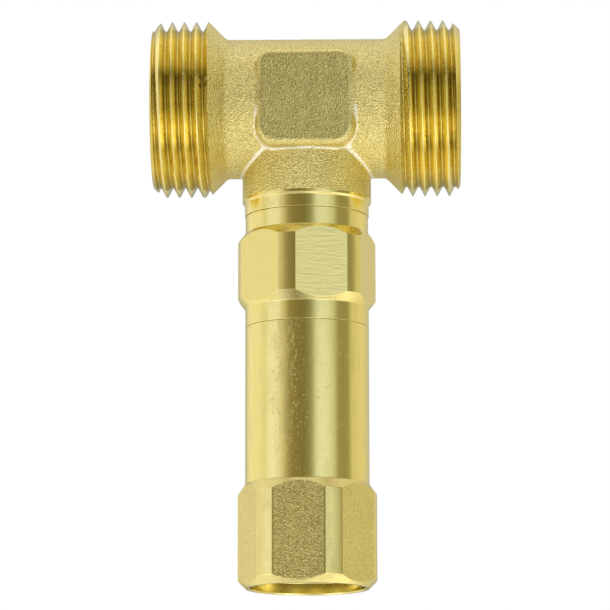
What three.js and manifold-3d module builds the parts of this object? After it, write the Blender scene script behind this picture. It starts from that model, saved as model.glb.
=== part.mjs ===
// A brass hose splitter with backflow prevention: a forged tee with two male pipe-thread outlets,
// a hexagon union below it, and a long inlet socket with a female pipe thread. Two identical
// spring-loaded check cartridges sit one above the other in the stem.
// Millimetres, +Z up. The origin is the centre of the inlet mouth, on the socket's bottom face.
// +X points along the outlet run, and the flat pads of the tee face -Y and +Y.
import * as THREE from "three";
import { mergeVertices } from "three/addons/utils/BufferGeometryUtils.js";
import Module from "manifold-3d";

const wasm = await Module();
wasm.setup();

// ---- Driving dimensions -------------------------------------------------------------------

// Pipe threads: G 1 on the outlets, G 1/2 in the inlet.
const OUTLET_THREAD = { pitch: 25.4 / 11, major: 33.249 / 2, minor: 30.291 / 2 };
const INLET_THREAD = { pitch: 25.4 / 14, major: 20.955 / 2, minor: 18.631 / 2 };
const FLANK = Math.tan(THREE.MathUtils.degToRad(27.5));
const ROOT_FLAT = 0.2; // half-width of the flat at the bottom of a thread groove

// Levels along the stem, from the inlet face up.
const SOCKET_HEX_TOP = 17.5;
const SOCKET_SHOULDER = 19.4;
const LOWER_SEAM = 49.0;
const UNION_CONE_FOOT = 52.6;
const UNION_HEX_BOTTOM = 54.3;
const UNION_HEX_TOP = 65.2;
const UNION_CONE_TOP = 67.0;
const UPPER_SEAM = 70.2;
const NECK_STEP = 73.0;
const RUN_AXIS = 91.3;
const SEAM_GAP = 0.1;

// Outside of the stem.
const ACROSS_FLATS = 24;
const CORNER_R = 12.98; // the hexagon's corners are turned down to this radius
const SLEEVE_R = 11.6;
const UNION_FACE_ANGLE = -76; // where one flat of the union points, in degrees from +X
const SOCKET_FACE_ANGLE = -96.5; // and one flat of the socket

// The tee.
const RUN_HALF_LENGTH = 29;
const RUN_R = 13.2;
const NECK_R = 12.05;
const NECK_TURNED_R = 11.65;
const CONE_START = 15.0; // where the run starts to flare out to the thread, along X
const CONE_END = CONE_START + OUTLET_THREAD.major - RUN_R;
const END_RIM_R = 14.9; // outer edge of each outlet's sealing face
const OUTLET_BORE_R = 12.0;
const OUTLET_BORE_DEPTH = 8.0;
const RUN_BORE_R = 10.25;
const PAD = { width: 18.2, height: 18.4, corner: 3.2, front: 13.5, edge: 0.8, drop: 0.5 };

// The screwed joints inside the stem, drawn at the pitch radius of an M20x1 thread.
const SPIGOT_R = 9.5;
const SPIGOT_BORE_R = 9.8;
const SPIGOT_TOP = 77.6;
const SPIGOT_BOTTOM = 42.8;
const O_RING_SEAT_R = 10.2;
const O_RING_GROOVE_R = 8.6;
const O_RING_GROOVE = 2.0;

// The check cartridges, and the bores that hold them.
const CARTRIDGE = { r: 7.45, length: 18.5, inlet: 5.0, chamber: 6.6 };
const CARTRIDGE_BORE_R = 7.6;
const LOWER_CARTRIDGE = 24.0;
const UPPER_CARTRIDGE = 57.0;

// The inlet: a washer and a strainer against a shoulder.
const INLET_SHOULDER = 15.0;
const STRAINER_PASSAGE_R = 6.6;

const SEGMENTS = 28; // around the brass pieces
const FINE = 16; // around the small pieces in the stem

// ---- Materials ----------------------------------------------------------------------------

const material = (color, roughness, metalness) =>
  new THREE.MeshStandardMaterial({ color, roughness, metalness });
const forgedBrass = material(0xcdb562, 0.48, 1);
const turnedBrass = material(0xd6c06a, 0.26, 1);
const whitePlastic = material(0xe9e7df, 0.5, 0);
const bluePlastic = material(0x2f6fae, 0.5, 0);
const blackRubber = material(0x1b1b1c, 0.85, 0);
const steel = material(0xb9bcc0, 0.3, 1);

// ---- Geometry helpers ---------------------------------------------------------------------

// A closed geometry as a solid that can be joined and cut.
function solid(geometry) {
  const bare = geometry.index ? geometry.toNonIndexed() : geometry.clone();
  bare.deleteAttribute("normal");
  bare.deleteAttribute("uv");
  const merged = mergeVertices(bare, 1e-4);
  return new wasm.Manifold(
    new wasm.Mesh({
      numProp: 3,
      vertProperties: merged.attributes.position.array,
      triVerts: new Uint32Array(merged.index.array),
    }),
  );
}

// A solid back as a geometry.
function geometryOf(body) {
  const mesh = body.getMesh();
  return new THREE.BufferGeometry()
    .setAttribute("position", new THREE.BufferAttribute(mesh.vertProperties, 3))
    .setIndex(new THREE.BufferAttribute(mesh.triVerts, 1));
}

// Twice the area inside a profile, positive when it runs counterclockwise.
const turning = (profile) =>
  profile.reduce((sum, [r, z], i) => {
    const [nextR, nextZ] = profile[(i + 1) % profile.length];
    return sum + r * nextZ - nextR * z;
  }, 0);

// A profile of [radius, height] points turned about +Z. It runs from axis to axis or round a ring.
function turned(profile, segments = SEGMENTS) {
  const outline = turning(profile) > 0 ? profile : profile.toReversed();
  const meetsAxis = outline[0][0] === 0 && outline.at(-1)[0] === 0;
  const closed = meetsAxis ? outline : [...outline, outline[0]];
  return new THREE.LatheGeometry(
    closed.map(([r, z]) => new THREE.Vector2(r, z)),
    segments,
  ).rotateX(Math.PI / 2);
}

const disc = (radius, bottom, top, segments) =>
  turned([[0, bottom], [radius, bottom], [radius, top], [0, top]], segments);

// A hexagonal prism along +Z with one flat facing the given angle.
function hexagon(faceAngle, bottom, top) {
  const shape = new THREE.Shape();
  for (let corner = 0; corner < 6; corner += 1) {
    const angle = THREE.MathUtils.degToRad(faceAngle + 30 + 60 * corner);
    const reach = ACROSS_FLATS / Math.sqrt(3);
    shape[corner ? "lineTo" : "moveTo"](reach * Math.cos(angle), reach * Math.sin(angle));
  }
  return new THREE.ExtrudeGeometry(shape, { depth: top - bottom, bevelEnabled: false })
    .translate(0, 0, bottom);
}

// A bar of constant section wound right-handed about +Z. The section's points are [height, radius],
// counterclockwise seen with the radius upwards; fade lifts the first part of the winding outwards.
function winding({ section, pitch, from, to, phase = 0, perTurn = SEGMENTS, fade = 0 }) {
  const steps = Math.ceil(((to - from) / pitch) * perTurn);
  const count = section.length;
  const positions = [];
  const index = [];
  for (let step = 0; step <= steps; step += 1) {
    const turn = step / perTurn;
    const angle = phase + 2 * Math.PI * turn;
    const lift = fade * Math.max(0, 1 - turn / 0.3);
    for (const [height, radius] of section) {
      const reach = radius + lift;
      positions.push(reach * Math.cos(angle), reach * Math.sin(angle), from + pitch * turn + height);
    }
  }
  for (let step = 0; step < steps; step += 1) {
    for (let side = 0; side < count; side += 1) {
      const a = step * count + side;
      const b = step * count + ((side + 1) % count);
      index.push(a, b, b + count, a, b + count, a + count);
    }
  }
  const last = steps * count;
  for (let side = 1; side < count - 1; side += 1) {
    index.push(0, side + 1, side);
    index.push(last, last + side, last + side + 1);
  }
  return new THREE.BufferGeometry()
    .setAttribute("position", new THREE.Float32BufferAttribute(positions, 3))
    .setIndex(index);
}

const parts = new THREE.Group();

// Adds a named piece, raised to its level in the stem.
function place(name, shape, finish, level = 0) {
  const geometry = shape.isBufferGeometry ? shape : geometryOf(shape);
  const mesh = new THREE.Mesh(geometry, finish);
  mesh.name = name;
  mesh.position.z = level;
  parts.add(mesh);
}

// ---- Tee body -----------------------------------------------------------------------------

// One arm's outside, along +Z from the tee's centre: run, cone, thread blank and end chamfer.
function armBlank() {
  const chamfer = OUTLET_THREAD.major - END_RIM_R;
  return turned([
    [0, -1],
    [RUN_R, -1],
    [RUN_R, CONE_START],
    [OUTLET_THREAD.major, CONE_END],
    [OUTLET_THREAD.major, RUN_HALF_LENGTH - chamfer],
    [END_RIM_R, RUN_HALF_LENGTH],
    [0, RUN_HALF_LENGTH],
  ]);
}

// The helical groove between the crests of an outlet's thread.
function outletGroove(from, phase) {
  const { pitch, major, minor } = OUTLET_THREAD;
  const above = 0.3;
  const wide = ROOT_FLAT + (major + above - minor) * FLANK;
  const section = [
    [-wide, major + above],
    [-ROOT_FLAT, minor],
    [ROOT_FLAT, minor],
    [wide, major + above],
  ];
  return winding({ section, pitch, from, to: RUN_HALF_LENGTH + pitch, phase, fade: 1.2 });
}

// The waterway of one arm: a wider mouth, a cone and the run's bore.
function armBore() {
  const mouthEnd = RUN_HALF_LENGTH - OUTLET_BORE_DEPTH;
  const past = 1;
  return turned([
    [0, -past],
    [RUN_BORE_R, -past],
    [RUN_BORE_R, mouthEnd - (OUTLET_BORE_R - RUN_BORE_R)],
    [OUTLET_BORE_R, mouthEnd],
    [OUTLET_BORE_R, RUN_HALF_LENGTH - 0.4],
    [OUTLET_BORE_R + 0.4 + past, RUN_HALF_LENGTH + past],
    [0, RUN_HALF_LENGTH + past],
  ]);
}

// The square pad on both sides of the tee, as one block through it.
function padBlock() {
  const { width, height, corner, front, edge, drop } = PAD;
  const x = width / 2 - edge;
  const y = height / 2 - edge;
  const r = corner - edge;
  const shape = new THREE.Shape()
    .moveTo(-x + r, -y)
    .lineTo(x - r, -y)
    .absarc(x - r, -y + r, r, -Math.PI / 2, 0)
    .lineTo(x, y - r)
    .absarc(x - r, y - r, r, 0, Math.PI / 2)
    .lineTo(-x + r, y)
    .absarc(-x + r, y - r, r, Math.PI / 2, Math.PI)
    .lineTo(-x, -y + r)
    .absarc(-x + r, -y + r, r, Math.PI, 1.5 * Math.PI);
  return new THREE.ExtrudeGeometry(shape, {
    depth: 2 * (front - edge),
    bevelThickness: edge,
    bevelSize: edge,
    bevelSegments: 1,
    curveSegments: 4,
  })
    .translate(0, 0, edge - front)
    .rotateX(Math.PI / 2)
    .translate(0, 0, RUN_AXIS - drop);
}

// Turns a shape built along +Z to lie along the run, towards +X or -X.
const alongRun = (geometry, side) =>
  geometry.rotateY((side * Math.PI) / 2).translate(0, 0, RUN_AXIS);

function teeBody() {
  const neck = turned([
    [0, UPPER_SEAM + SEAM_GAP],
    [NECK_TURNED_R, UPPER_SEAM + SEAM_GAP],
    [NECK_TURNED_R, NECK_STEP - (NECK_R - NECK_TURNED_R)],
    [NECK_R, NECK_STEP],
    [NECK_R, RUN_AXIS],
    [0, RUN_AXIS],
  ]);
  const neckBore = turned([
    [0, UPPER_SEAM - 1],
    [O_RING_SEAT_R, UPPER_SEAM - 1],
    [O_RING_SEAT_R, UPPER_SEAM + O_RING_GROOVE + 0.3],
    [SPIGOT_BORE_R, UPPER_SEAM + O_RING_GROOVE + 0.7],
    [SPIGOT_BORE_R, SPIGOT_TOP + 0.7],
    [8.0, SPIGOT_TOP + 0.7],
    [8.0, RUN_AXIS],
    [0, RUN_AXIS],
  ]);
  // Each groove fades in where the tool enters, just above the cone.
  const grooves = [
    { side: 1, from: CONE_END - 0.75, phase: Math.PI },
    { side: -1, from: CONE_END - 0.2, phase: Math.PI },
  ];
  let body = solid(neck).add(solid(padBlock()));
  for (const { side } of grooves) body = body.add(solid(alongRun(armBlank(), side)));
  for (const { side, from, phase } of grooves) {
    body = body.subtract(solid(alongRun(outletGroove(from, phase), side)));
    body = body.subtract(solid(alongRun(armBore(), side)));
  }
  return body.subtract(solid(neckBore));
}

place("tee_body", teeBody(), forgedBrass);

// ---- Hexagon union ------------------------------------------------------------------------

function hexUnion() {
  const outside = turned([
    [0, SPIGOT_BOTTOM],
    [SPIGOT_R - 0.6, SPIGOT_BOTTOM],
    [SPIGOT_R, SPIGOT_BOTTOM + 0.6],
    [SPIGOT_R, LOWER_SEAM - O_RING_GROOVE],
    [O_RING_GROOVE_R, LOWER_SEAM - O_RING_GROOVE],
    [O_RING_GROOVE_R, LOWER_SEAM + SEAM_GAP],
    [SLEEVE_R, LOWER_SEAM + SEAM_GAP],
    [SLEEVE_R, UNION_CONE_FOOT],
    [CORNER_R, UNION_HEX_BOTTOM],
    [CORNER_R, UNION_HEX_TOP],
    [SLEEVE_R, UNION_CONE_TOP],
    [SLEEVE_R, UPPER_SEAM],
    [O_RING_GROOVE_R, UPPER_SEAM],
    [O_RING_GROOVE_R, UPPER_SEAM + O_RING_GROOVE],
    [SPIGOT_R, UPPER_SEAM + O_RING_GROOVE],
    [SPIGOT_R, SPIGOT_TOP - 0.6],
    [SPIGOT_R - 0.6, SPIGOT_TOP],
    [0, SPIGOT_TOP],
  ]);
  const ringGroove = UPPER_CARTRIDGE + CARTRIDGE.length + 0.35;
  const waterway = turned([
    [0, SPIGOT_BOTTOM - 1],
    [6.0, SPIGOT_BOTTOM - 1],
    [6.0, UPPER_CARTRIDGE - SEAM_GAP],
    [CARTRIDGE_BORE_R, UPPER_CARTRIDGE - SEAM_GAP],
    [CARTRIDGE_BORE_R, ringGroove],
    [8.2, ringGroove],
    [8.2, ringGroove + 1],
    [CARTRIDGE_BORE_R, ringGroove + 1],
    [CARTRIDGE_BORE_R, SPIGOT_TOP + 1],
    [0, SPIGOT_TOP + 1],
  ]);
  const wrench = hexagon(UNION_FACE_ANGLE, SPIGOT_BOTTOM - 1, SPIGOT_TOP + 1);
  return solid(outside).intersect(solid(wrench)).subtract(solid(waterway));
}

place("hex_union", hexUnion(), turnedBrass);

// ---- Inlet socket -------------------------------------------------------------------------

function inletSocket() {
  const outside = turned([
    [0, 0],
    [SLEEVE_R + 0.1, 0],
    [CORNER_R, 1.5],
    [CORNER_R, SOCKET_HEX_TOP],
    [SLEEVE_R, SOCKET_SHOULDER],
    [SLEEVE_R, LOWER_SEAM],
    [0, LOWER_SEAM],
  ]);
  const { pitch, major, minor } = INLET_THREAD;
  const mouth = 10.6;
  const waterway = turned([
    [0, -1],
    [mouth + 1, -1],
    [mouth, 0],
    [minor, mouth - minor],
    [minor, INLET_SHOULDER],
    [STRAINER_PASSAGE_R, INLET_SHOULDER],
    [STRAINER_PASSAGE_R, LOWER_CARTRIDGE - SEAM_GAP],
    [CARTRIDGE_BORE_R, LOWER_CARTRIDGE - SEAM_GAP],
    [CARTRIDGE_BORE_R, SPIGOT_BOTTOM - 1.8],
    [SPIGOT_BORE_R, SPIGOT_BOTTOM - 1.8],
    [SPIGOT_BORE_R, LOWER_SEAM - O_RING_GROOVE - 0.7],
    [O_RING_SEAT_R, LOWER_SEAM - O_RING_GROOVE - 0.3],
    [O_RING_SEAT_R, LOWER_SEAM + 1],
    [0, LOWER_SEAM + 1],
  ]);
  const below = 0.22;
  const wide = ROOT_FLAT + (major - minor + below) * FLANK;
  const groove = winding({
    section: [
      [-ROOT_FLAT, major],
      [-wide, minor - below],
      [wide, minor - below],
      [ROOT_FLAT, major],
    ],
    pitch,
    from: -1,
    to: 11,
    perTurn: 20,
  });
  const wrench = hexagon(SOCKET_FACE_ANGLE, -1, LOWER_SEAM + 1);
  return solid(outside)
    .intersect(solid(wrench))
    .subtract(solid(waterway))
    .subtract(solid(groove));
}

place("inlet_socket", inletSocket(), turnedBrass);

// ---- Seals of the screwed joints ----------------------------------------------------------

// A rubber ring of round section, lying flat about +Z.
const oRing = (radius, section) => new THREE.TorusGeometry(radius, section, 6, FINE);

const jointRing = () => oRing((O_RING_GROOVE_R + O_RING_SEAT_R) / 2, 0.6);
place("socket_joint_o_ring", jointRing(), blackRubber, LOWER_SEAM - O_RING_GROOVE / 2);
place("tee_joint_o_ring", jointRing(), blackRubber, UPPER_SEAM + O_RING_GROOVE / 2);

// ---- Inlet washer and strainer ------------------------------------------------------------

const FLANGE = 0.8;
const WASHER = 2.0;
const washer = turned([[6.0, -WASHER], [9.15, -WASHER], [9.15, -0.05], [6.0, -0.05]], FINE);
place("inlet_washer", washer, blackRubber, INLET_SHOULDER - FLANGE);

const strainerFrame = turned(
  [[5.5, -FLANGE], [9.0, -FLANGE], [9.0, -0.05], [6.4, -0.05], [6.4, 1.8], [5.5, 1.8]],
  FINE,
);
place("strainer_frame", strainerFrame, whitePlastic, INLET_SHOULDER);

// A cup of fine mesh that stands up inside the passage, open at the bottom.
const MESH_TOP = 7.5;
const strainerMesh = turned(
  [
    [5.0, -FLANGE],
    [5.4, -FLANGE],
    [5.4, MESH_TOP - 1.2],
    [4.4, MESH_TOP],
    [0, MESH_TOP],
    [0, MESH_TOP - 0.4],
    [4.2, MESH_TOP - 0.4],
    [5.0, MESH_TOP - 1.4],
  ],
  FINE,
);
place("strainer_mesh", strainerMesh, steel, INLET_SHOULDER);

// ---- Check cartridges ---------------------------------------------------------------------

const SEAT = 5.9; // level of the seat's lower edge above the cartridge's foot
const DISC_TOP = 8.2;
const GUIDE_BOTTOM = 15.6;
const GUIDE_PLATE = 16.6;
const GUIDE_TOP = 18.3;

// The plastic barrel: a narrow inlet, a conical seat and a wider chamber.
function checkHousing() {
  const { r, length, inlet, chamber } = CARTRIDGE;
  return turned(
    [
      [inlet, 0],
      [r - 0.6, 0],
      [r, 0.6],
      [r, 3.0],
      [6.45, 3.0],
      [6.45, 4.6],
      [r, 4.6],
      [r, length],
      [chamber, length],
      [chamber, SEAT + chamber - inlet],
      [inlet, SEAT],
    ],
    FINE,
  );
}

// The spider that steers the poppet's stem: a rim, a hub and three ribs.
function checkGuide() {
  const rim = turned(
    [[5.5, GUIDE_PLATE], [6.5, GUIDE_PLATE], [6.5, GUIDE_TOP], [5.5, GUIDE_TOP]],
    FINE,
  );
  let body = solid(rim).add(solid(disc(2.7, GUIDE_BOTTOM, GUIDE_TOP, FINE)));
  for (let rib = 0; rib < 3; rib += 1) {
    const bar = new THREE.BoxGeometry(5.0, 1.2, GUIDE_TOP - GUIDE_PLATE - 0.2)
      .translate(3.6, 0, (GUIDE_TOP + GUIDE_PLATE) / 2)
      .rotateZ((2 * Math.PI * rib) / 3);
    body = body.add(solid(bar));
  }
  return body.subtract(solid(disc(1.4, GUIDE_BOTTOM - 1, GUIDE_TOP + 1, 12)));
}

// The moving disc with its stem, and a groove for the seal.
function checkPoppet() {
  return turned(
    [
      [0, 4.6],
      [3.0, 4.6],
      [4.6, 5.4],
      [4.6, 6.2],
      [4.0, 6.2],
      [4.0, 7.2],
      [5.4, 7.2],
      [5.4, DISC_TOP],
      [1.15, DISC_TOP],
      [1.15, 17.4],
      [0, 17.6],
    ],
    FINE,
  );
}

// The rubber ring in that groove, with a cone that meets the seat.
function checkSeal() {
  return turned([[4.1, 6.28], [5.15, 6.28], [5.7, 6.83], [5.7, 7.12], [4.1, 7.12]], FINE);
}

// The return spring around the stem, between the disc and the hub.
function checkSpring() {
  const wire = 0.26;
  const sides = 5;
  const section = [];
  for (let side = 0; side < sides; side += 1) {
    const angle = (2 * Math.PI * side) / sides;
    section.push([wire * Math.cos(angle), 2.25 + wire * Math.sin(angle)]);
  }
  const from = DISC_TOP + wire + 0.05;
  const to = GUIDE_BOTTOM - wire - 0.05;
  return winding({ section, pitch: (to - from) / 5, from, to, perTurn: 12 });
}

for (const [name, level] of [["lower", LOWER_CARTRIDGE], ["upper", UPPER_CARTRIDGE]]) {
  place(`${name}_check_housing`, checkHousing(), whitePlastic, level);
  place(`${name}_check_guide`, checkGuide(), bluePlastic, level);
  place(`${name}_check_poppet`, checkPoppet(), bluePlastic, level);
  place(`${name}_check_seal`, checkSeal(), blackRubber, level);
  place(`${name}_check_spring`, checkSpring(), steel, level);
  place(`${name}_check_o_ring`, oRing(7.05, 0.45), blackRubber, level + 3.8);
}

// ---- Snap ring above the upper cartridge --------------------------------------------------

function snapRing() {
  const half = THREE.MathUtils.degToRad(22);
  const outer = 8.05;
  const inner = 6.95;
  const shape = new THREE.Shape()
    .absarc(0, 0, outer, half, 2 * Math.PI - half)
    .absarc(0, 0, inner, 2 * Math.PI - half, half, true);
  return new THREE.ExtrudeGeometry(shape, { depth: 0.8, bevelEnabled: false, curveSegments: 12 });
}

place("retaining_ring", snapRing(), steel, UPPER_CARTRIDGE + CARTRIDGE.length + 0.45);

export default parts;
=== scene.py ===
import math

import bmesh
import bpy
import numpy as np
from mathutils import Matrix, Vector


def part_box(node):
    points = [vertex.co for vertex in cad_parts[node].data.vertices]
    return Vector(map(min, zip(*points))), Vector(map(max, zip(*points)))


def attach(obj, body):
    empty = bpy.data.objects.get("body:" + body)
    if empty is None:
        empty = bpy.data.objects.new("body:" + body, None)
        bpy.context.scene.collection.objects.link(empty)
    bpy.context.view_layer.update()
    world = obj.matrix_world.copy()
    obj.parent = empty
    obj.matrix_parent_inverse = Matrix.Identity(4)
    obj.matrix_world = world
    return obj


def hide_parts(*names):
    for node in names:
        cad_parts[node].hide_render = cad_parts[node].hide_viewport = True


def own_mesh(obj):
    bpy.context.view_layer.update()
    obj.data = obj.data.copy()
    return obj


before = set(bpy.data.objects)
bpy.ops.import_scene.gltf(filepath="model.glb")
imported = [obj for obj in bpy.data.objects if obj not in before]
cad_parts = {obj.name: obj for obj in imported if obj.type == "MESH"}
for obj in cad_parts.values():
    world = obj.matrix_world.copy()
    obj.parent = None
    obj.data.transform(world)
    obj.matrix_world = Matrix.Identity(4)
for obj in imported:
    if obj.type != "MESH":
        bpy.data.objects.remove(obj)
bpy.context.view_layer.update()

MM = 0.001


def box(node):
    """The lowest and highest corner of a CAD node, in millimetres."""
    low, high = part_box(node)
    return low / MM, high / MM


# ---- Driving sizes, from the frame and from the standards ----

TEE_LOW, TEE_HIGH = box("tee_body")
RUN_END = TEE_HIGH.x
RUN_AXIS = TEE_HIGH.z - TEE_HIGH.y
UPPER_SEAM = TEE_LOW.z
UNION_LOW, UNION_HIGH = box("hex_union")
LOWER_SEAM = box("inlet_socket")[1].z

# Pipe threads with 55 degree flanks: G 1 outside each arm and G 1/2 in the inlet. The stem's
# joints have a thread of 1 mm pitch. Crest and root are the radii of the rounded edges.
FLANK = math.radians(27.5)
OUTLET_THREAD = {"pitch": 25.4 / 11, "major": TEE_HIGH.y, "crest": 0.15, "root": 0.25}
INLET_THREAD = {"pitch": 25.4 / 14, "major": 20.955 / 2, "crest": 0.2, "root": 0.24}
JOINT_THREAD = {"pitch": 1.0, "major": 9.74, "crest": 0.12, "root": 0.12}
JOINT_BORE_R = 9.8

ACROSS_FLATS = 24.0
CORNER_R = 12.98
SLEEVE_R = 11.6
UNION_FACE = math.radians(-76)
SOCKET_FACE = math.radians(-96.5)
UNION_HEX = (54.3, 65.2)  # bottom and top of the union's hexagon at its corners
UNION_CONES = (52.6, 67.0)  # where the cones below and above it meet the bands
SOCKET_HEX = (1.5, 17.5)
SOCKET_SHOULDER = 19.4

RUN_R = 13.2
NECK_R = 12.05
NECK_TURNED_R = 11.67
NECK_STEP = 73.0
CONE_START = 15.0
THREAD_START = 18.4
END_RIM_R = 14.9
OUTLET_BORE_R = 12.0
OUTLET_BORE_DEPTH = 8.0
RUN_BORE_R = 10.25
BRANCH_R = 8.0
NECK_FILLET = 0.6
PAD_FILLET = 0.6
CONE_FILLET = 0.35
PAD = {"width": 18.6, "height": 18.6, "front": 13.45, "edge": 1.3, "drop": 0.5}
PAD_CORNER_R = {"low": 3.9, "high": 2.9}
FLASH = {"height": 0.07, "half": 0.55}  # the trimmed seam of the forging dies
# The fillets within this band get a painted highlight: a paler brass colour.
FILLET_BAND = (0.03, 0.69)  # how far outside two meeting shapes their fillet lies

SEAM_GAP = 0.05
SPIGOT_TOP = UNION_HIGH.z
SPIGOT_BOTTOM = UNION_LOW.z
O_RING_SEAT_R = 10.2
O_RING_GROOVE_R = 8.6
O_RING_GROOVE = 2.0
UPPER_SHOULDER = UPPER_SEAM + O_RING_GROOVE
LOWER_SHOULDER = LOWER_SEAM - O_RING_GROOVE

LOWER_CARTRIDGE = box("lower_check_housing")[0].z
UPPER_CARTRIDGE = box("upper_check_housing")[0].z
CARTRIDGE_R = 7.45
CARTRIDGE_BORE_R = 7.6
CARTRIDGE_LENGTH = 18.5
INLET_SHOULDER = 15.0
STRAINER_PASSAGE_R = 6.6

ROUND = 128  # steps around a large turned piece
SMALL_ROUND = 72  # and around a small one
SUPPORT = 1.12  # where a rounded edge's support points lie, in lengths of its cut-off corner


# ---- Mesh helpers ----

def add_mesh(name, points, faces, weld=False):
    """An object from points in millimetres and faces as lists of point numbers."""
    mesh = bpy.data.meshes.new(name)
    mesh.from_pydata((np.asarray(points, float) * MM).tolist(), [], faces)
    if weld:
        work = bmesh.new()
        work.from_mesh(mesh)
        bmesh.ops.remove_doubles(work, verts=work.verts, dist=1e-4 * MM)
        work.to_mesh(mesh)
        work.free()
    made = bpy.data.objects.new(name, mesh)
    bpy.context.scene.collection.objects.link(made)
    return made


def smooth(made, degrees=35):
    """Shades the object smooth, apart from edges sharper than the angle."""
    made.data.shade_smooth()
    made.data.set_sharp_from_angle(angle=math.radians(degrees))
    return made


def cut(target, *tools, operation="DIFFERENCE"):
    """Cuts the tools out of the target, or joins them to it, and deletes them."""
    for tool in tools:
        modifier = target.modifiers.new(tool.name, "BOOLEAN")
        modifier.operation = operation
        modifier.solver = "MANIFOLD"
        modifier.object = tool
    bpy.context.view_layer.update()
    graph = bpy.context.evaluated_depsgraph_get()
    made = bpy.data.meshes.new_from_object(target.evaluated_get(graph))
    target.modifiers.clear()
    old = target.data
    target.data = made
    bpy.data.meshes.remove(old)
    for tool in tools:
        bpy.data.meshes.remove(tool.data)
    return target


def join(target, *tools):
    return cut(target, *tools, operation="UNION")


def rounded(corners, radius=0.15, steps=3):
    """A closed outline with its corners turned into arcs, between two support points each.

    A corner is (radius, height) or (radius, height, size of its arc). One with size 0 stays, and
    so does one on the axis.
    """
    count = len(corners)
    result = []
    for i, corner in enumerate(corners):
        size = corner[2] if len(corner) > 2 else radius
        point = np.array(corner[:2])
        if size == 0 or point[0] == 0:
            result.append(point)
            continue
        before = np.array(corners[i - 1][:2]) - point
        after = np.array(corners[(i + 1) % count][:2]) - point
        room = 0.42 * min(np.linalg.norm(before), np.linalg.norm(after))
        u = before / np.linalg.norm(before)
        v = after / np.linalg.norm(after)
        half = math.acos(np.clip(u @ v, -1, 1)) / 2
        tangent = min(size / math.tan(half), room)
        centre = point + (u + v) / np.linalg.norm(u + v) * tangent / math.cos(half)
        first = point + u * tangent - centre
        last = point + v * tangent - centre
        sweep = math.pi - 2 * half
        result.append(point + u * tangent * SUPPORT)
        for step in range(steps + 1):
            s = step / steps
            arc = math.sin((1 - s) * sweep) * first + math.sin(s * sweep) * last
            result.append(centre + arc / math.sin(sweep))
        result.append(point + v * tangent * SUPPORT)
    return np.array(result)


def anticlockwise(outline):
    """The outline in the order that makes a swept face point outwards."""
    r, z = outline[:, 0], outline[:, 1]
    area = np.sum(r * np.roll(z, -1) - np.roll(r, -1) * z)
    return outline if area > 0 else outline[::-1]


def spun(outlines, angles):
    """The points of one outline of (radius, height) per angle about +Z."""
    outlines = np.asarray(outlines)
    x = outlines[..., 0] * np.cos(angles)[:, None]
    y = outlines[..., 0] * np.sin(angles)[:, None]
    return np.stack([x, y, outlines[..., 1]], -1)


def swept(name, outlines, angles):
    """The closed surface all the way round through one outline per angle about +Z."""
    points = spun(outlines, angles)
    columns, rows = points.shape[:2]
    on_axis = outlines[0][0][0] == 0 and outlines[0][-1][0] == 0
    i, j = np.meshgrid(np.arange(columns), np.arange(rows - on_axis), indexing="ij")
    right, up = (i + 1) % columns, (j + 1) % rows
    faces = np.stack([i * rows + j, right * rows + j, right * rows + up, i * rows + up], -1)
    return add_mesh(name, points.reshape(-1, 3), faces.reshape(-1, 4).tolist(), weld=on_axis)


def bar_faces(loops, sides, first=0):
    """The faces of a bar through that many loops of points, closed at both ends."""
    step, side = np.meshgrid(np.arange(loops - 1), np.arange(sides), indexing="ij")
    near = first + step * sides
    after = (side + 1) % sides
    quads = np.stack([near + side, near + after, near + sides + after, near + sides + side], -1)
    last = first + (loops - 1) * sides
    start = list(range(first + sides - 1, first - 1, -1))
    return [*quads.reshape(-1, 4).tolist(), start, list(range(last, last + sides))]


def bar(name, loops):
    """A bar through loops of points, closed at both ends."""
    return add_mesh(name, loops.reshape(-1, 3), bar_faces(*loops.shape[:2]))


def turned(name, corners, radius=0.15, steps=SMALL_ROUND):
    """A solid of revolution about +Z from the corners of its outline."""
    outline = anticlockwise(rounded(corners, radius))
    if np.any(outline[:, 0] == 0):
        start = np.flatnonzero((outline[:, 0] == 0) & (np.roll(outline[:, 0], 1) == 0))[0]
        outline = np.roll(outline, -start, axis=0)
    angles = np.linspace(0, 2 * math.pi, steps, endpoint=False)
    return swept(name, np.repeat(outline[None], steps, 0), angles)


def soft_minimum(a, b, width):
    """The smaller of two numbers, with the step between them rounded over."""
    mix = np.clip(0.5 + 0.5 * (b - a) / width, 0, 1)
    return b * (1 - mix) + a * mix - width * mix * (1 - mix)


def wrench_angles(face):
    """Angles around a hexagon, close together where a flat meets its rounded corner."""
    edge = math.degrees(math.acos(ACROSS_FLATS / 2 / CORNER_R))
    near = [-1.2, -0.5, -0.2, 0, 0.2, 0.5, 1.2]
    half = sorted([0, 4, 8, 12, 16, 19] + [edge + step for step in near] + [25.5, 28])
    offsets = sorted({-a for a in half} | set(half) | {30.0})
    sixth = np.array(offsets)
    return face + np.radians(np.concatenate([sixth + 60 * side for side in range(6)]))


def wrench_reach(angle, face, softness):
    """How far a hexagon with turned-down corners reaches at an angle."""
    sixth = math.radians(60)
    from_flat = (angle - face + sixth / 2) % sixth - sixth / 2
    return soft_minimum(ACROSS_FLATS / 2 / math.cos(from_flat), CORNER_R, softness)


def helix(name, section, pitch, start, turns, phase=0.0, per_turn=96, fade=0.0):
    """A closed bar wound right-handed about +Z. The section's points are (height, radius)."""
    section = np.asarray(section)
    turn = np.arange(round(turns * per_turn) + 1) / per_turn
    angle = phase + 2 * math.pi * turn
    lift = fade * np.clip(1 - turn / 0.3, 0, 1)
    radius = section[None, :, 1] + lift[:, None]
    height = start + pitch * turn[:, None] + section[None, :, 0]
    return bar(name, spun(np.stack([radius, height], -1), angle))


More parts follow.
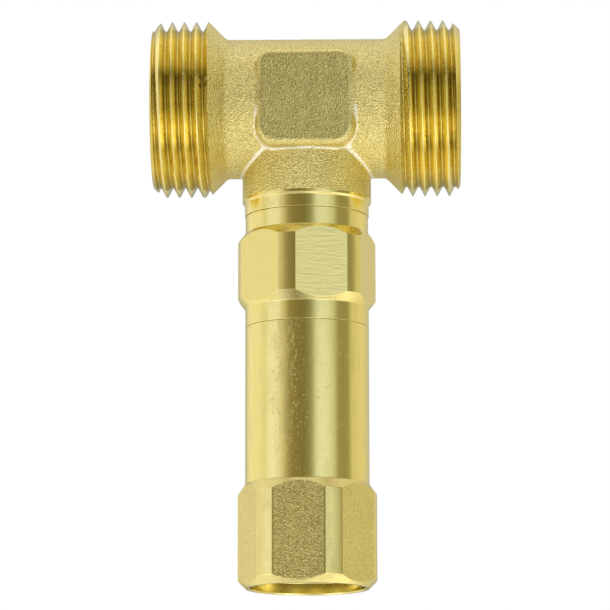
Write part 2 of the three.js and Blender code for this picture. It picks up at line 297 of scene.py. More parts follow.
def thread_depth(thread):
    """How deep a thread is cut: a sharp V less what its rounded crests and roots take off."""
    sharp = thread["pitch"] / 2 / math.tan(FLANK)
    return sharp - (thread["crest"] + thread["root"]) * (1 / math.sin(FLANK) - 1)


def thread_groove(thread, inside=False):
    """The section of the groove that a thread tool leaves, with a round root and round crests."""
    pitch, major, depth = thread["pitch"], thread["major"], thread_depth(thread)
    swing = math.pi / 2 - FLANK
    floor = major - depth
    root = [
        (thread["root"] * math.sin(a), floor + thread["root"] * (1 - math.cos(a)))
        for a in np.linspace(-swing, swing, 7)
    ]
    crest = [
        (pitch / 2 - thread["crest"] * math.sin(b), major - thread["crest"] * (1 - math.cos(b)))
        for b in np.linspace(swing, math.radians(10), 4)
    ]
    above = 0.3
    wall = crest[-1][0]
    left = [(-w, r) for w, r in reversed(crest)]
    section = [(-wall, major + above), *left, *root, *crest, (wall, major + above)]
    if not inside:
        return section
    middle = major - depth / 2
    return [(w, 2 * middle - r) for w, r in reversed(section)]


def along_run(made, side):
    """Turns a piece built along +Z to lie along the run, towards +X or -X."""
    turn = Matrix.Rotation(side * math.pi / 2, 4, "Y")
    made.data.transform(Matrix.Translation((0, 0, RUN_AXIS * MM)) @ turn)
    return made


def raised(made, level):
    """Lifts a piece by a level in millimetres."""
    made.data.transform(Matrix.Translation((0, 0, level * MM)))
    return made


# ---- The forged skin of the tee ----

def round_union(a, b, radius):
    """The distance to two joined bodies, with a fillet of that radius between them."""
    corner = np.hypot(np.maximum(radius - a, 0), np.maximum(radius - b, 0))
    return np.maximum(radius, np.minimum(a, b)) - corner


def pad_distance(x, y, z):
    """The distance to the block whose two ends are the square pads."""
    z = z + PAD["drop"]
    corner = np.where(z < 0, PAD_CORNER_R["low"], PAD_CORNER_R["high"])
    u = np.abs(x) - PAD["width"] / 2 + corner
    v = np.abs(z) - PAD["height"] / 2 + corner
    outside = np.hypot(np.maximum(u, 0), np.maximum(v, 0))
    sideways = outside + np.minimum(np.maximum(u, v), 0) - corner + PAD["edge"]
    forwards = np.abs(y) - PAD["front"] + PAD["edge"]
    beyond = np.hypot(np.maximum(sideways, 0), np.maximum(forwards, 0))
    return beyond + np.minimum(np.maximum(sideways, forwards), 0) - PAD["edge"]


def skin_distance(points):
    """The distance from the forging's outside: run, cones, neck, pads and trimmed flash."""
    x, y, z = points[:, 0], points[:, 1], points[:, 2] - RUN_AXIS
    along = np.abs(x)
    around = np.hypot(y, z)
    cone = (around - RUN_R - (along - CONE_START)) * math.cos(math.radians(45))
    run = round_union(around - RUN_R, cone, CONE_FILLET)
    run = np.maximum(run, around - (OUTLET_THREAD["major"] - 0.12))
    run = np.maximum(run, along - THREAD_START - 1)
    neck = np.maximum(np.hypot(x, y) - NECK_R, np.maximum(z, UPPER_SEAM - 1 - points[:, 2]))
    skin = round_union(run, neck, NECK_FILLET)
    skin = round_union(skin, pad_distance(x, y, z), PAD_FILLET)
    wave = np.sin(0.9 * x + 1.3 * z) * np.sin(1.1 * y - 0.7 * z + 1) + np.sin(1.7 * x - 0.8 * y + 2)
    flash = np.maximum(skin - FLASH["height"], np.abs(y) - FLASH["half"])
    return np.minimum(skin, flash) + 0.012 * wave


def surface_net(distance, low, high, step):
    """The points and quads of the surface where distance is zero, on a grid of that step."""
    axes = [np.arange(a, b + step, step) for a, b in zip(low, high)]
    grid = np.stack(np.meshgrid(*axes, indexing="ij"), -1)
    shape = grid.shape[:3]
    value = distance(grid.reshape(-1, 3)).reshape(shape)
    inside = value < 0
    cells = tuple(n - 1 for n in shape)
    total = np.zeros(cells + (3,))
    crossings = np.zeros(cells)
    corners = list(np.ndindex(2, 2, 2))

    def corner_of(array, offset):
        return array[tuple(slice(o, o + n) for o, n in zip(offset, cells))]

    for axis in range(3):
        for start in (c for c in corners if c[axis] == 0):
            end = tuple(c + (n == axis) for n, c in enumerate(start))
            a, b = corner_of(value, start), corner_of(value, end)
            crosses = corner_of(inside, start) != corner_of(inside, end)
            share = np.where(crosses, a / np.where(crosses, a - b, 1), 0)
            total += np.array(start) * crosses[..., None]
            total[..., axis] += share
            crossings += crosses
    active = crossings > 0
    number = np.full(cells, -1)
    number[active] = np.arange(active.sum())
    points = (np.argwhere(active) + total[active] / crossings[active][:, None]) * step + low
    faces = []
    for axis in range(3):
        u, v = (axis + 1) % 3, (axis + 2) % 3
        lower = np.take(inside, range(shape[axis] - 1), axis)
        upper = np.take(inside, range(1, shape[axis]), axis)
        edges = np.argwhere(lower != upper)
        within = [(edges[:, n] > 0) & (edges[:, n] < shape[n] - 1) for n in (u, v)]
        edges = edges[within[0] & within[1]]
        leaving = lower[tuple(edges.T)]
        corner_cells = []
        for du, dv in ((-1, -1), (0, -1), (0, 0), (-1, 0)):
            cell = edges.copy()
            cell[:, u] += du
            cell[:, v] += dv
            corner_cells.append(number[tuple(cell.T)])
        quads = np.stack(corner_cells, -1)
        faces.append(np.where(leaving[:, None], quads, quads[:, ::-1]))
    return points, np.concatenate(faces)


def settled(points, distance, rounds=3):
    """The points moved onto the surface along its slope."""
    nudge = 0.01
    for _ in range(rounds):
        steps = [distance(points + nudge * s) - distance(points - nudge * s) for s in np.eye(3)]
        slope = np.stack(steps, -1) / (2 * nudge)
        length = np.maximum(np.sum(slope**2, -1), 0.25)
        points = points - (distance(points) / length)[:, None] * slope
    return points


def forged_skin():
    margin = 1.0
    reach = OUTLET_THREAD["major"] + margin
    low = np.array([-THREAD_START - 2, -reach, UPPER_SEAM - 2])
    high = np.array([THREAD_START + 2, reach, RUN_AXIS + reach])
    step = 0.28
    points, faces = surface_net(skin_distance, low, high, step)
    return add_mesh("tee_body_skin", settled(points, skin_distance), faces.tolist())


# ---- Brass pieces ----

def outlet_blank(side):
    """The turned end of one arm before its thread is cut, with its sealing face."""
    chamfer = OUTLET_THREAD["major"] - END_RIM_R
    core = 14.0
    corners = [
        (0, THREAD_START - 2),
        (core, THREAD_START - 2, 0),
        (core, THREAD_START, 0),
        (OUTLET_THREAD["major"], THREAD_START, 0),
        (OUTLET_THREAD["major"], RUN_END - chamfer, 0.2),
        (END_RIM_R, RUN_END, 0.2),
        (0, RUN_END),
    ]
    return along_run(turned(f"blank_{side}", corners, steps=ROUND), side)


def outlet_bore(side):
    mouth_end = RUN_END - OUTLET_BORE_DEPTH
    chamfer = 0.4
    corners = [
        (0, -1),
        (RUN_BORE_R, -1, 0),
        (RUN_BORE_R, mouth_end - (OUTLET_BORE_R - RUN_BORE_R), 0.3),
        (OUTLET_BORE_R, mouth_end, 0.3),
        (OUTLET_BORE_R, RUN_END - chamfer, 0.15),
        (OUTLET_BORE_R + chamfer + 1, RUN_END + 1, 0),
        (0, RUN_END + 1),
    ]
    return along_run(turned(f"bore_{side}", corners, steps=ROUND), side)


def neck_tool():
    """What the lathe takes off the neck: its lower end, the turned band and a small step."""
    step_top = NECK_STEP + 0.9
    clear = 16.0
    corners = [
        (0, UPPER_SEAM - 3),
        (0, UPPER_SEAM),
        (NECK_TURNED_R, UPPER_SEAM, 0.09),
        (NECK_TURNED_R, NECK_STEP - 0.4, 0.1),
        (NECK_TURNED_R + 1.3, step_top, 0),
        (clear, step_top, 0),
        (clear, UPPER_SEAM - 3, 0),
    ]
    return turned("neck_tool", corners, steps=ROUND)


def neck_bore():
    corners = [
        (0, UPPER_SEAM - 1),
        (O_RING_SEAT_R + 0.3, UPPER_SEAM - 1, 0),
        (O_RING_SEAT_R + 0.3, UPPER_SEAM, 0),
        (O_RING_SEAT_R, UPPER_SEAM + 0.3, 0.1),
        (O_RING_SEAT_R, UPPER_SHOULDER + 0.3, 0.1),
        (JOINT_BORE_R, UPPER_SHOULDER + 0.7, 0.1),
        (JOINT_BORE_R, SPIGOT_TOP + 0.7, 0.2),
        (BRANCH_R, SPIGOT_TOP + 0.7, 0.2),
        (BRANCH_R, RUN_AXIS - RUN_BORE_R + 3, 0),
        (0, RUN_AXIS - RUN_BORE_R + 3),
    ]
    return turned("neck_bore", corners, steps=ROUND)


def joint_thread(start, turns, inside=False):
    """The thread cut around a joint's spigot, or into the wall of its bore."""
    thread = dict(JOINT_THREAD)
    if inside:
        thread["major"] = JOINT_BORE_R + thread_depth(thread) / 2
    section = thread_groove(thread, inside)
    return helix("joint_thread", section, thread["pitch"], start, turns, per_turn=48)


# Where each outlet's thread tool enters, along the arm, and at what angle.
OUTLET_ENTRY = {1: (17.67, math.pi), -1: (18.04, math.pi - math.radians(72))}


def tee_body():
    body = forged_skin()
    join(body, outlet_blank(1), outlet_blank(-1))
    pitch = OUTLET_THREAD["pitch"]
    tools = [neck_tool(), neck_bore(), joint_thread(UPPER_SHOULDER + 0.9, 4.0, inside=True)]
    for side, (start, phase) in OUTLET_ENTRY.items():
        turns = (RUN_END - start) / pitch + 1
        section = thread_groove(OUTLET_THREAD)
        groove = helix(f"groove_{side}", section, pitch, start, turns, phase, fade=1.2)
        tools.append(along_run(groove, side))
        tools.append(outlet_bore(side))
    cut(body, *tools)
    body.name = "tee_body_brass"
    return smooth(body)


def union_outline(angle):
    """The union's section at one angle, from its lower spigot up and back down the waterway."""
    reach = wrench_reach(angle, UNION_FACE, 0.03)
    low, high = UNION_HEX
    foot, top = UNION_CONES
    lean_low = (low - foot) / (CORNER_R - SLEEVE_R)
    lean_high = (top - high) / (CORNER_R - SLEEVE_R)
    burr = 0.09 + 0.06 * math.sin(9 * angle) * math.sin(23 * angle + 1)
    spigot = JOINT_THREAD["major"]
    ring_groove = UPPER_CARTRIDGE + CARTRIDGE_LENGTH + 0.35
    ring_groove_r = 8.2
    waterway = 6.0
    seam = LOWER_SEAM + SEAM_GAP
    corners = [
        (spigot - 0.6, SPIGOT_BOTTOM),
        (spigot, SPIGOT_BOTTOM + 0.6),
        (spigot, LOWER_SHOULDER, 0.08),
        (O_RING_GROOVE_R, LOWER_SHOULDER, 0.2),
        (O_RING_GROOVE_R, seam, 0.1),
        (SLEEVE_R, seam, burr),
        (SLEEVE_R, foot, 0.2),
        (reach, low - (CORNER_R - reach) * lean_low, 0.1),
        (reach, high + (CORNER_R - reach) * lean_high, 0.1),
        (SLEEVE_R - 0.05, top, 0.2),
        (SLEEVE_R - 0.05, UPPER_SEAM - SEAM_GAP, burr),
        (O_RING_GROOVE_R, UPPER_SEAM - SEAM_GAP, 0.1),
        (O_RING_GROOVE_R, UPPER_SHOULDER, 0.2),
        (spigot, UPPER_SHOULDER, 0.08),
        (spigot, SPIGOT_TOP - 0.6),
        (spigot - 0.6, SPIGOT_TOP),
        (CARTRIDGE_BORE_R, SPIGOT_TOP, 0.3),
        (CARTRIDGE_BORE_R, ring_groove + 1, 0.05),
        (ring_groove_r, ring_groove + 1, 0.05),
        (ring_groove_r, ring_groove, 0.05),
        (CARTRIDGE_BORE_R, ring_groove, 0.05),
        (CARTRIDGE_BORE_R, UPPER_CARTRIDGE - 0.1, 0.2),
        (waterway, UPPER_CARTRIDGE - 0.1, 0.2),
        (waterway, SPIGOT_BOTTOM, 0.4),
    ]
    return anticlockwise(rounded(corners))


def hex_union():
    angles = wrench_angles(UNION_FACE)
    body = swept("hex_union_brass", [union_outline(a) for a in angles], angles)
    cut(body, joint_thread(UPPER_SHOULDER + 0.5, 6.0), joint_thread(SPIGOT_BOTTOM - 0.8, 4.6))
    return smooth(body)


def socket_outline(angle):
    """The socket's section at one angle, up the outside and back down the waterway."""
    reach = wrench_reach(angle, SOCKET_FACE, 0.09)
    low, high = SOCKET_HEX
    rim = 11.75
    lean_low = (low - 0.25) / (CORNER_R - rim)
    lean_high = (SOCKET_SHOULDER - high) / (CORNER_R - SLEEVE_R)
    burr = 0.09 + 0.06 * math.sin(7 * angle + 2) * math.sin(31 * angle)
    mouth = 10.95
    entry = 2.2  # how deep the plain counterbore before the thread is
    minor = INLET_THREAD["major"] - thread_depth(INLET_THREAD)
    tap_end = SPIGOT_BOTTOM - 1.8
    corners = [
        (mouth, 0, 0.08),
        (rim - 0.25, 0, 0.3),
        (rim, 0.25, 0.3),
        (reach, low - (CORNER_R - reach) * lean_low, 0.3),
        (reach, high + (CORNER_R - reach) * lean_high, 0.25),
        (SLEEVE_R, SOCKET_SHOULDER, 0.2),
        (SLEEVE_R, LOWER_SEAM, burr),
        (O_RING_SEAT_R, LOWER_SEAM, 0.2),
        (O_RING_SEAT_R, LOWER_SHOULDER - 0.3, 0.1),
        (JOINT_BORE_R, LOWER_SHOULDER - 0.7, 0.1),
        (JOINT_BORE_R, tap_end, 0.2),
        (CARTRIDGE_BORE_R, tap_end, 0.3),
        (CARTRIDGE_BORE_R, LOWER_CARTRIDGE - 0.1, 0.2),
        (STRAINER_PASSAGE_R, LOWER_CARTRIDGE - 0.1, 0.2),
        (STRAINER_PASSAGE_R, INLET_SHOULDER, 0.3),
        (minor, INLET_SHOULDER, 0.3),
        (minor, entry + mouth - minor, 0.1),
        (mouth - 0.15, entry, 0.15),
        (mouth - 0.15, 0.3, 0.1),
    ]
    return anticlockwise(rounded(corners))


def inlet_socket():
    angles = wrench_angles(SOCKET_FACE)
    body = swept("inlet_socket_brass", [socket_outline(a) for a in angles], angles)
    pitch = INLET_THREAD["pitch"]
    start = 2.6
    turns = (INLET_SHOULDER - 4 - start) / pitch
    section = thread_groove(INLET_THREAD, inside=True)
    groove = helix("inlet_groove", section, pitch, start, turns, fade=-1.2)
    cut(body, groove, joint_thread(SPIGOT_BOTTOM - 1.2, 4.6, inside=True))
    return smooth(body)


# ---- Materials ----

BRASS = (0.88, 0.755, 0.275)
DARK_SPECK = (0.72, 0.6, 0.2)
# The colour of the thread roots: painted shade in the grooves.
THREAD_ROOT_SHADE = (0.64, 0.5, 0.11)
SCRATCH = (0.5, 0.38, 0.13)
STREAK_LEFT = 3.6  # how far left of the stem's axis the sleeve's scratches run


class Nodes:
    """A node tree, with short calls for the nodes that the finishes and the studio share."""

    def __init__(self, tree):
        self.tree = tree

    def new(self, kind, **settings):
        node = self.tree.nodes.new(kind)
        for key, value in settings.items():
            setattr(node, key, value)
        return node

    def wire(self, value, socket):
        """Links an output to the socket, or sets the socket to a number or a colour."""
        if hasattr(value, "links"):
            self.tree.links.new(value, socket)
        else:
            socket.default_value = value

    def parts(self, vector):
        """The X, Y and Z of a vector."""
        node = self.new("ShaderNodeSeparateXYZ")
        self.wire(vector, node.inputs["Vector"])
        return [node.outputs[axis] for axis in "XYZ"]

    def math(self, operation, *values):
        node = self.new("ShaderNodeMath", operation=operation)
        for value, socket in zip(values, node.inputs):
            self.wire(value, socket)
        return node.outputs["Value"]

    def remap(self, value, low, high, to_low, to_high, curve="LINEAR"):
        node = self.new("ShaderNodeMapRange", interpolation_type=curve)
        numbers = {"From Min": low, "From Max": high, "To Min": to_low, "To Max": to_high}
        for name, number in numbers.items():
            self.wire(number, node.inputs[name])
        self.wire(value, node.inputs["Value"])
        return node.outputs["Result"]

    def fade(self, value, low, high):
        """0 below low, 1 above high, and a smooth step between them."""
        return self.remap(value, low, high, 0, 1, "SMOOTHSTEP")

    def mix(self, factor, a, b):
        """Colour a where the factor is 0 and colour b where it is 1."""
        node = self.new("ShaderNodeMix", data_type="RGBA")
        for value, socket in ((factor, 0), (a, 6), (b, 7)):
            self.wire((*value, 1) if isinstance(value, tuple) else value, node.inputs[socket])
        return node.outputs[2]

    def vector(self, operation, value, other, socket=1):
        node = self.new("ShaderNodeVectorMath", operation=operation)
        self.wire(value, node.inputs[0])
        self.wire(other, node.inputs[socket])
        return node.outputs["Vector"]


class Finish(Nodes):
    """The node tree of a new material."""

    def __init__(self, name):
        self.material = bpy.data.materials.new(name)
        self.material.use_nodes = True
        super().__init__(self.material.node_tree)
        self.shader = self.tree.nodes["Principled BSDF"]
        self.place = self.new("ShaderNodeTexCoord").outputs["Object"]

    def stretched(self, scale):
        """The object's coordinates in millimetres, scaled alike or along X, Y and Z."""
        scale = scale if isinstance(scale, tuple) else (scale,) * 3
        node = self.new("ShaderNodeMapping")
        node.inputs["Scale"].default_value = [s / MM for s in scale]
        self.wire(self.place, node.inputs["Vector"])
        return node.outputs["Vector"]

    def noise(self, scale, detail=3.0, roughness=0.55):
        """Noise with that many cells to a millimetre, or along each axis."""
        node = self.new("ShaderNodeTexNoise")
        for name, number in (("Scale", 1.0), ("Detail", detail), ("Roughness", roughness)):
            node.inputs[name].default_value = number
        self.wire(self.stretched(scale), node.inputs["Vector"])
        return node.outputs["Fac"]

    def spread(self, noise, low, high):
        """The middle of a noise's range, as numbers from low to high."""
        return self.remap(noise, 0.3, 0.7, low, high)

    def patches(self, noise, start, full, plain, patch):
        """A plain colour that turns into the patch's where the noise goes from start to full."""
        return self.mix(self.remap(noise, start, full, 0, 1), plain, patch)

    def dimples(self, scale):
        """Round dents, about that many to a millimetre."""
        node = self.new("ShaderNodeTexVoronoi", feature="SMOOTH_F1")
        node.inputs["Scale"].default_value = 1.0
        node.inputs["Smoothness"].default_value = 0.3
        self.wire(self.stretched(scale), node.inputs["Vector"])
        return node.outputs["Distance"]

    def bump(self, height, distance, strength=1.0, under=None):
        """A normal from a height of that many millimetres, over the normal under it."""
        node = self.new("ShaderNodeBump")
        node.inputs["Strength"].default_value = strength
        node.inputs["Distance"].default_value = distance * MM
        self.wire(height, node.inputs["Height"])
        if under is not None:
            self.wire(under, node.inputs["Normal"])
        return node.outputs["Normal"]

    def nicked(self, threshold, depth, strength):
        """A normal with small nicks where a noise passes the threshold."""
        nicks = self.remap(self.noise(2.6, detail=2), threshold, threshold + 0.08, 1, 0)
        return self.bump(nicks, depth, strength)

    def finish(self, colour, roughness, normal, metallic=1.0):
        for name, output in (("Base Color", colour), ("Roughness", roughness), ("Normal", normal)):
            self.wire(output, self.shader.inputs[name])
        self.shader.inputs["Metallic"].default_value = metallic
        return self.material


def shade(colour, factor):
    return tuple(c * factor for c in colour)


def blasted_brass(name, dents, rough, metal=BRASS):
    """Forged and sandblasted: fine dents that glint, over faint cloudy staining."""
    nodes = Finish(name)
    clouds = nodes.noise(0.25, detail=2)
    grain = nodes.noise(3.5, detail=2, roughness=0.5)
    swell = nodes.noise(0.9, detail=1)
    stained = nodes.patches(clouds, 0.35, 0.7, metal, shade(metal, 0.92))
    colour = nodes.patches(grain, 0.3, 0.5, DARK_SPECK, stained)
    roughness = nodes.remap(grain, 0.35, 0.7, rough * 1.15, rough * 0.85)
    coarse = nodes.bump(swell, 0.06, 0.8)
    peened = nodes.bump(nodes.dimples(3.8), dents * 0.7, under=coarse)
    normal = nodes.bump(grain, dents * 0.5, under=peened)
    return nodes.finish(colour, roughness, normal)


def lathe_brass(name, across, painted_shade=1.0, rough=0.2):
    """Turned: fine lines around the axis, a few deeper ones, nicks and faint handling marks."""
    nodes = Finish(name)
    fine = tuple(9.0 if axis == across else 0.05 for axis in "XYZ")
    wide = tuple(1.6 if axis == across else 0.02 for axis in "XYZ")
    lines = nodes.noise(fine, detail=3, roughness=0.6)
    bands = nodes.noise(wide, detail=2)
    smears = nodes.noise((0.45, 0.45, 0.16), detail=4, roughness=0.65)
    dull = nodes.remap(smears, 0.48, 0.72, 0, 1)
    # Painted shade: a factor below 1 darkens the whole brass colour.
    colour = nodes.mix(dull, shade(BRASS, painted_shade), shade(BRASS, painted_shade * 0.9))
    scratched = nodes.spread(lines, rough * 0.8, rough * 1.25)
    roughness = nodes.math("ADD", scratched, nodes.remap(dull, 0, 1, 0, 0.05))
    dented = nodes.nicked(0.68, 0.03, 0.5)
    broad = nodes.bump(bands, 0.006, 0.5, under=dented)
    normal = nodes.bump(lines, 0.0025, 0.6, under=broad)
    return nodes.finish(colour, roughness, normal)


def thread_brass_shaded_roots():
    """The outlet threads: bright crests, and roots painted dark as painted shade in the grooves."""
    nodes = Finish("thread_brass_shaded_roots")
    major, depth = OUTLET_THREAD["major"], thread_depth(OUTLET_THREAD)
    _, y, z = nodes.parts(nodes.stretched(1))
    lift = nodes.math("SUBTRACT", z, RUN_AXIS)
    aside = nodes.math("MULTIPLY", y, y)
    squared = nodes.math("ADD", aside, nodes.math("MULTIPLY", lift, lift))
    radius = nodes.math("SQRT", squared)
    crest = nodes.remap(radius, major - depth, major - 0.15, 0, 1)
    around = nodes.noise((0.05, 0.7, 0.7), detail=3)
    root_shade_mask = nodes.math("ADD", crest, nodes.spread(around, -0.15, 0.15))
    # Painted shade: the colour darkens by radius, from the crests down into the roots.
    colour = nodes.patches(root_shade_mask, 0.1, 0.95, THREAD_ROOT_SHADE, BRASS)
    lines = nodes.noise((9.0, 0.05, 0.05), detail=3, roughness=0.6)
    roughness = nodes.spread(lines, 0.08, 0.14)
    dented = nodes.nicked(0.64, 0.05, 0.7)
    normal = nodes.bump(lines, 0.0025, 0.6, under=dented)
    return nodes.finish(colour, roughness, normal)


def sleeve_brass():
    """The turned sleeve, with handling marks and a streak of scratches left of its middle."""
    nodes = Finish("sleeve_brass")
    lines = nodes.noise((0.05, 0.05, 8.0), detail=3, roughness=0.6)
    smears = nodes.noise((0.5, 0.5, 0.16), detail=5, roughness=0.7)
    marks = nodes.noise((2.2, 2.2, 1.3), detail=3, roughness=0.6)
    patches = nodes.noise((1.9, 1.9, 1.2), detail=3)
    x, _, z = nodes.parts(nodes.stretched(1))
    aside = nodes.math("ABSOLUTE", nodes.math("ADD", x, STREAK_LEFT))
    upper = nodes.remap(z, 22, 38, 0.5, 1)
    streak = nodes.math("MULTIPLY", nodes.remap(aside, 0.5, 4.5, 0.16, 0), upper)
    handled = nodes.remap(nodes.math("ADD", patches, streak), 0.6, 0.7, 0, 1)
    off_line = nodes.math("ABSOLUTE", nodes.math("SUBTRACT", marks, 0.5))
    scratch = nodes.math("MULTIPLY", nodes.remap(off_line, 0.004, 0.02, 1, 0), handled)
    dull = nodes.remap(nodes.math("ADD", smears, streak), 0.5, 0.8, 0, 1)
    clean = nodes.mix(dull, BRASS, shade(BRASS, 0.88))
    colour = nodes.mix(nodes.remap(scratch, 0, 1, 0, 0.35), clean, SCRATCH)
    turned_lines = nodes.spread(lines, 0.15, 0.22)
    roughness = nodes.math("ADD", turned_lines, nodes.remap(dull, 0, 1, 0, 0.07))
    dented = nodes.bump(nodes.math("SUBTRACT", 1.0, scratch), 0.02, 0.6)
    normal = nodes.bump(lines, 0.0022, 0.6, under=dented)
    return nodes.finish(colour, roughness, normal)


def milled_brass():
    """The union's flats: long level scratches from the cutter."""
    nodes = Finish("milled_brass")
    strokes = nodes.noise((0.28, 0.28, 2.0), detail=3, roughness=0.6)
    fine = nodes.noise((0.4, 0.4, 9.0), detail=2)
    marks = nodes.noise(1.1, detail=5, roughness=0.7)
    colour = nodes.patches(marks, 0.56, 0.7, BRASS, shade(BRASS, 0.9))
    roughness = nodes.spread(fine, 0.2, 0.3)
    long = nodes.bump(strokes, 0.07, 0.9)
    normal = nodes.bump(fine, 0.005, 0.6, under=long)
    return nodes.finish(colour, roughness, normal)


def plastic(name, colour, shadow):
    """Moulded plastic with a fine spark-eroded grain."""
    nodes = Finish(name)
    cloud = nodes.noise(0.3, detail=2)
    grain = nodes.noise(5, detail=3)
    tint = nodes.patches(cloud, 0.35, 0.65, colour, shadow)
    roughness = nodes.spread(grain, 0.36, 0.5)
    nodes.shader.inputs["IOR"].default_value = 1.48
    return nodes.finish(tint, roughness, nodes.bump(grain, 0.008, 0.4), metallic=0.0)


def rubber():
    nodes = Finish("moulded_rubber")
    cloud = nodes.noise(0.6, detail=3)
    grain = nodes.noise(7, detail=3)
    tint = nodes.patches(cloud, 0.4, 0.7, (0.012, 0.012, 0.013), (0.03, 0.03, 0.031))
    roughness = nodes.spread(grain, 0.55, 0.8)
    return nodes.finish(tint, roughness, nodes.bump(grain, 0.006, 0.5), metallic=0.0)


def steel():
    nodes = Finish("drawn_steel")
    drawn = nodes.noise(6, detail=4)
    cloud = nodes.noise(0.5, detail=2)
    tint = nodes.patches(cloud, 0.4, 0.7, (0.62, 0.62, 0.62), (0.5, 0.5, 0.51))
    roughness = nodes.spread(drawn, 0.2, 0.34)
    return nodes.finish(tint, roughness, nodes.bump(drawn, 0.003, 0.5))


# ---- Pieces inside the stem ----

SEAT = 5.9  # the seat's lower edge above the cartridge's foot
DISC_TOP = 8.2
GUIDE_BOTTOM = 15.6
GUIDE_PLATE = 16.6
GUIDE_TOP = 18.3
SPRING_FOOT = DISC_TOP - 0.3


def ring(name, radius, section, level):
    """A moulded ring of round section, with the faint ridge where its mould parts."""
    sides = 20
    angles = np.linspace(0, 2 * math.pi, 96, endpoint=False)
    around = np.linspace(0, 2 * math.pi, sides, endpoint=False)
    bulge = section * (1 + 0.025 * (np.abs(np.cos(around)) > 0.99))
    outline = np.stack([radius + bulge * np.cos(around), level + bulge * np.sin(around)], -1)
    return smooth(swept(name, np.repeat(outline[None], 96, 0), angles), 60)


def check_housing(name):
    """The cartridge's barrel: a narrow inlet, a conical seat and a wider chamber."""
    chamber = 6.6
    inlet = 5.0
    barrel = turned(name, [
        (inlet, 0, 0.3), (CARTRIDGE_R - 0.6, 0, 0.1), (CARTRIDGE_R, 0.6, 0.1),
        (CARTRIDGE_R, 3.0, 0.08), (6.45, 3.0, 0.2), (6.45, 4.6, 0.2), (CARTRIDGE_R, 4.6, 0.08),
        (CARTRIDGE_R, CARTRIDGE_LENGTH, 0.25),
        (chamber, CARTRIDGE_LENGTH, 0.12),
        (chamber, SEAT + chamber - inlet, 0.1),
        (inlet, SEAT, 0.15),
    ], steps=96)
    slots = []
    lie = Matrix.Rotation(math.pi / 2, 4, "Y") @ Matrix.Scale(0.45, 4, (0, 0, 1))
    out = Matrix.Translation((CARTRIDGE_R * MM, 0, 11 * MM)) @ lie
    for side in range(4):
        slot = turned(f"{name}_slot_{side}", [(0, -1), (0.55, -1, 0), (0.55, 1, 0), (0, 1)], steps=24)
        slot.data.transform(Matrix.Rotation(math.radians(45 + 90 * side), 4, "Z") @ out)
        slots.append(slot)
    return smooth(cut(barrel, *slots))


def check_guide(name):
    """The spider that steers the poppet's stem: rim, hub and three webbed ribs."""
    body = turned(name, [
        (5.5, GUIDE_PLATE), (6.5, GUIDE_PLATE), (6.5, GUIDE_TOP), (5.5, GUIDE_TOP)
    ], radius=0.18)
    hub = turned("hub", [
        (0, GUIDE_BOTTOM), (2.7, GUIDE_BOTTOM, 0.25), (2.7, GUIDE_TOP, 0.25), (0, GUIDE_TOP)
    ])
    ribs = []
    for side in range(3):
        low, high = GUIDE_PLATE + 0.15, GUIDE_TOP - 0.15
        outline = [(-0.6, low, 0.2), (0.6, low, 0.2), (0.6, high, 0.2), (-0.6, high, 0.2)]
        section = rounded(outline)
        ends = [np.column_stack([np.full(len(section), reach), section]) for reach in (1.6, 6.0)]
        rib = bar(f"rib_{side}", np.stack(ends))
        rib.data.transform(Matrix.Rotation(2 * math.pi * side / 3, 4, "Z"))
        ribs.append(rib)
    hole = turned("hole", [
        (0, GUIDE_BOTTOM - 1), (1.7, GUIDE_BOTTOM - 1, 0), (1.7, GUIDE_BOTTOM, 0),
        (1.4, GUIDE_BOTTOM + 0.3, 0), (1.4, GUIDE_TOP + 1, 0), (0, GUIDE_TOP + 1),
    ])
    return smooth(cut(join(body, hub, *ribs), hole))


def check_poppet(name):
    """The moving disc with a domed nose, a seal groove, a spring collar and its stem."""
    body = turned(name, [
        (0, 4.5), (2.6, 4.55, 0.6), (4.6, 5.4, 0.4), (4.6, 6.2, 0.1),
        (4.0, 6.2, 0.1), (4.0, 7.2, 0.1), (5.4, 7.2, 0.1), (5.4, DISC_TOP, 0.2),
        (3.4, DISC_TOP, 0.1), (3.1, DISC_TOP - 0.35, 0.1), (1.5, DISC_TOP - 0.35, 0.15),
        (1.15, DISC_TOP, 0.15), (1.15, 17.2, 0.2), (0, 17.6),
    ])
    return smooth(body)


def check_seal(name):
    """The rubber ring in the poppet's groove, with the cone that meets the seat."""
    return smooth(turned(name, [
        (4.1, 6.28, 0.1), (5.15, 6.28, 0.15), (5.7, 6.83, 0.12), (5.7, 7.12, 0.08), (4.1, 7.12, 0.1)
    ]))


def check_spring(name):
    """The return spring, with its end turns closed and ground flat."""
    wire = 0.26
    coil_r = 2.25
    turns = 7.5
    closed_turns = 0.9
    per_turn = 40
    bottom, top = SPRING_FOOT, GUIDE_BOTTOM
    t = np.linspace(0, turns, round(turns * per_turn) + 1)
    open_share = np.clip((t - closed_turns) / (turns - 2 * closed_turns), 0, 1)
    closed_share = np.minimum(t, closed_turns) + np.maximum(t - turns + closed_turns, 0)
    closed = 2 * wire * 0.8
    rise = top - bottom - 2 * wire - 2 * closed_turns * closed
    height = bottom + wire + closed * closed_share + rise * open_share
    around = np.linspace(0, 2 * math.pi, 12, endpoint=False)
    z = np.clip(height[:, None] + wire * np.cos(around), bottom, top - 0.02)
    radius = np.broadcast_to(coil_r + wire * np.sin(around), z.shape)
    return smooth(bar(name, spun(np.stack([radius, z], -1), 2 * math.pi * t)), 50)


def inlet_washer(name):
    """The flat washer, with shallow sealing grooves in its lower face."""
    top = INLET_SHOULDER - 0.85
    bottom = top - 1.95
    corners = [(6.0, bottom)]
    for radius in (6.9, 8.0):
        corners += [(radius, bottom, 0), (radius + 0.15, bottom + 0.12, 0), (radius + 0.3, bottom, 0)]
    corners += [(9.15, bottom), (9.15, top), (6.0, top)]
    return smooth(turned(name, corners, radius=0.25, steps=96))


